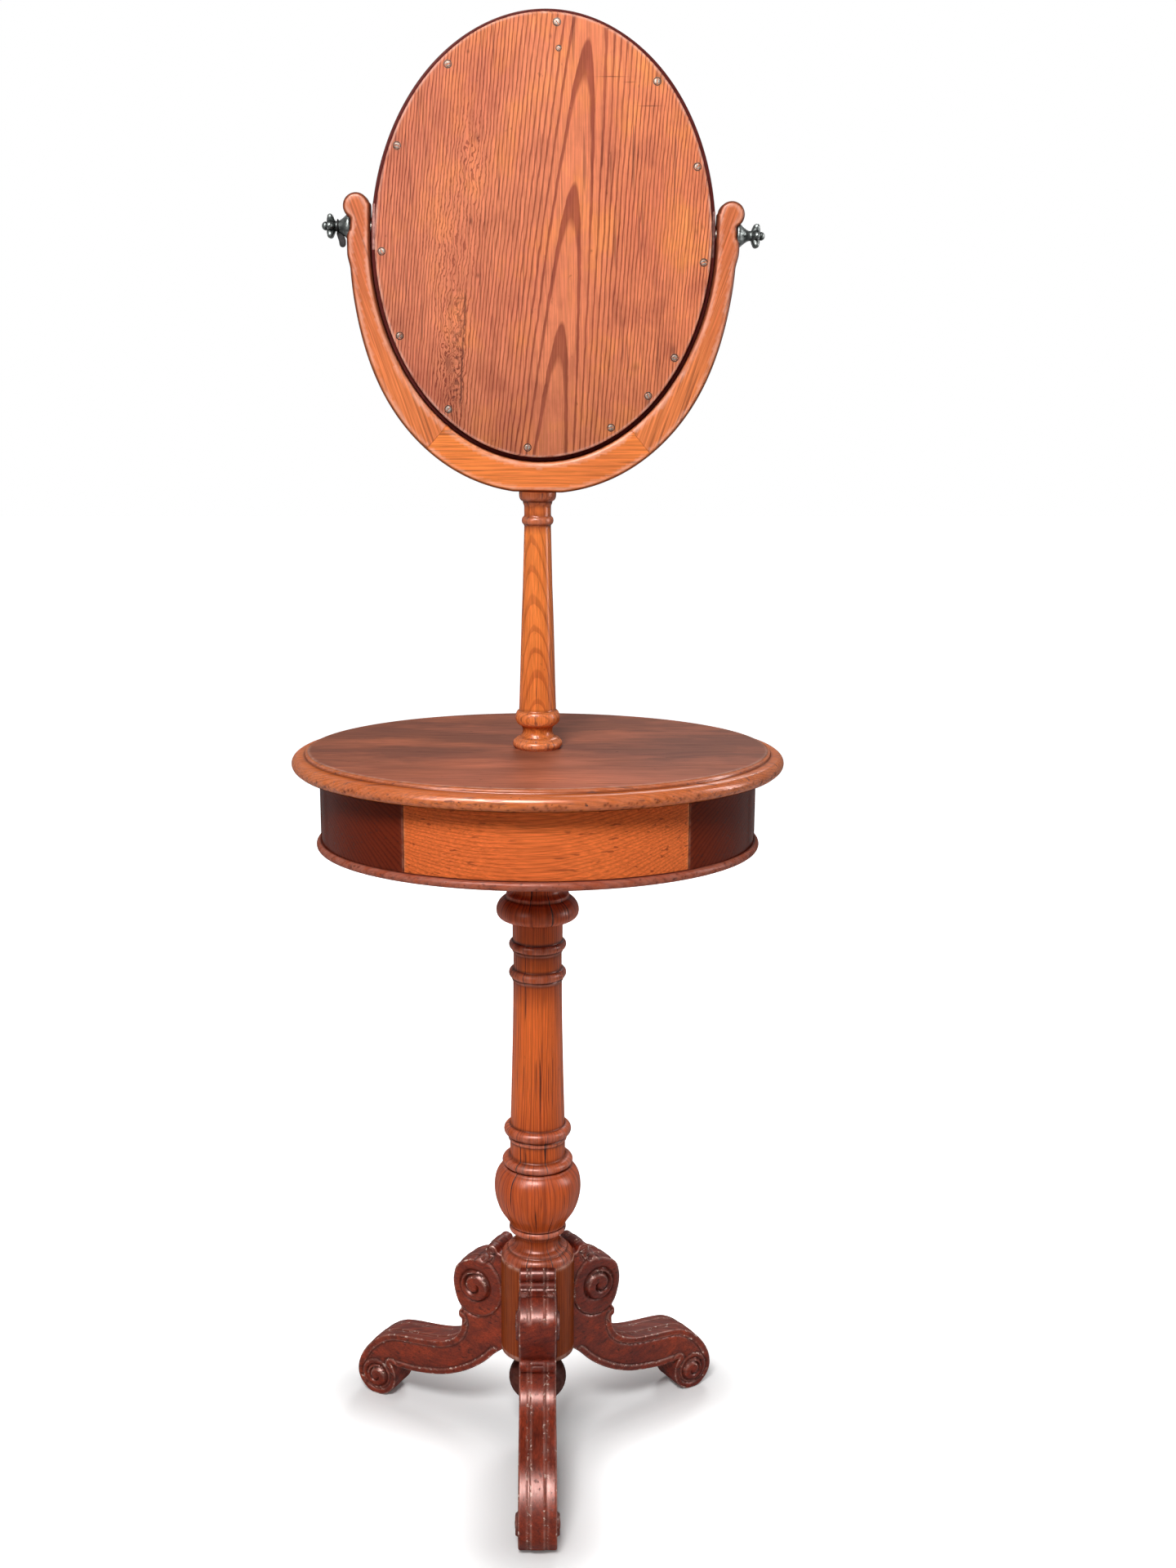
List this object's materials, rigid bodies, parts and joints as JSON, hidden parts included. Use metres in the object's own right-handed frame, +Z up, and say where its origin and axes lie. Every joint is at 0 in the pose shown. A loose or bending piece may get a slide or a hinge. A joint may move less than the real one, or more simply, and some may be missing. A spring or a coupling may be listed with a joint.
{
  "type": "shaving stand",
  "caption": "Oval table with a drawer, on a turned pillar with scroll legs, that carries a tilting oval mirror in a wooden yoke on a turned post.",
  "frame": {"origin": "on the floor, at the centre of the stand's bounding box", "axes": "+Z up, -Y towards the drawer's side, +Y the way the looking glass faces, +X to the right seen from the drawer's side"},
  "size_m": [0.522, 0.444, 1.5497],
  "materials": {
    "pine": "orange-red varnished pine, satin",
    "table_wood": "worn brown varnish, satin",
    "mahogany": "dark red stain under gloss varnish",
    "plain_wood": "bare planed wood",
    "rim_wood": "dark maroon stain, satin",
    "pewter": "dark tarnished cast metal, satin",
    "steel": "dull steel",
    "mirror": "silvered glass"
  },
  "bodies": {
    "stand": {"pendant_finial": "mahogany", "leg_block": "pine", "front_leg": "mahogany", "left_leg": "mahogany", "right_leg": "mahogany", "leg_dowels": "plain_wood", "pillar": "pine", "bearer": "pine", "bearer_screws": "steel", "base_board": "pine", "centre_post": "plain_wood", "frieze_left": "pine", "frieze_right": "pine", "frieze_back": "pine", "glue_blocks": "plain_wood", "table_top": "table_wood", "drawer_guides": "plain_wood", "drawer_stops": "plain_wood", "upper_column": "pine", "yoke_bow": "pine", "yoke_left_arm": "pine", "yoke_right_arm": "pine", "yoke_joint_dowels": "plain_wood"},
    "drawer": {"drawer_front": "pine", "drawer_left_side": "plain_wood", "drawer_right_side": "plain_wood", "drawer_back": "plain_wood", "drawer_bottom": "plain_wood"},
    "mirror": {"mirror_frame": "rim_wood", "mirror_glass": "mirror", "glass_packing": "plain_wood", "mirror_backboard": "pine", "backboard_screws": "steel", "left_pivot_plate": "steel", "right_pivot_plate": "steel", "pivot_plate_screws": "steel"},
    "left_knob": {"left_knob": "pewter", "left_stud": "steel", "left_washer": "steel", "left_knob_wing": "pewter"},
    "right_knob": {"right_knob": "pewter", "right_stud": "steel", "right_washer": "steel"}
  },
  "joints": [
    {"name": "mirror_tilt", "type": "hinge", "parent": "stand", "child": "mirror", "pos_m": [0.00584, 0.0145, 1.34293], "axis": [0.9997, 0, -0.0227], "continuous": true},
    {"name": "left_knob_turn", "type": "hinge", "parent": "stand", "child": "left_knob", "pos_m": [-0.18961, 0.0145, 1.34737], "axis": [0.9997, 0, -0.0227], "range_deg": [-100, 100]},
    {"name": "right_knob_turn", "type": "hinge", "parent": "stand", "child": "right_knob", "pos_m": [0.20129, 0.0145, 1.3385], "axis": [0.9997, 0, -0.0227], "continuous": true},
    {"name": "drawer_slide", "type": "slide", "parent": "stand", "child": "drawer", "axis": [0, -1, 0], "range_m": [0, 0.1]}
  ]
}
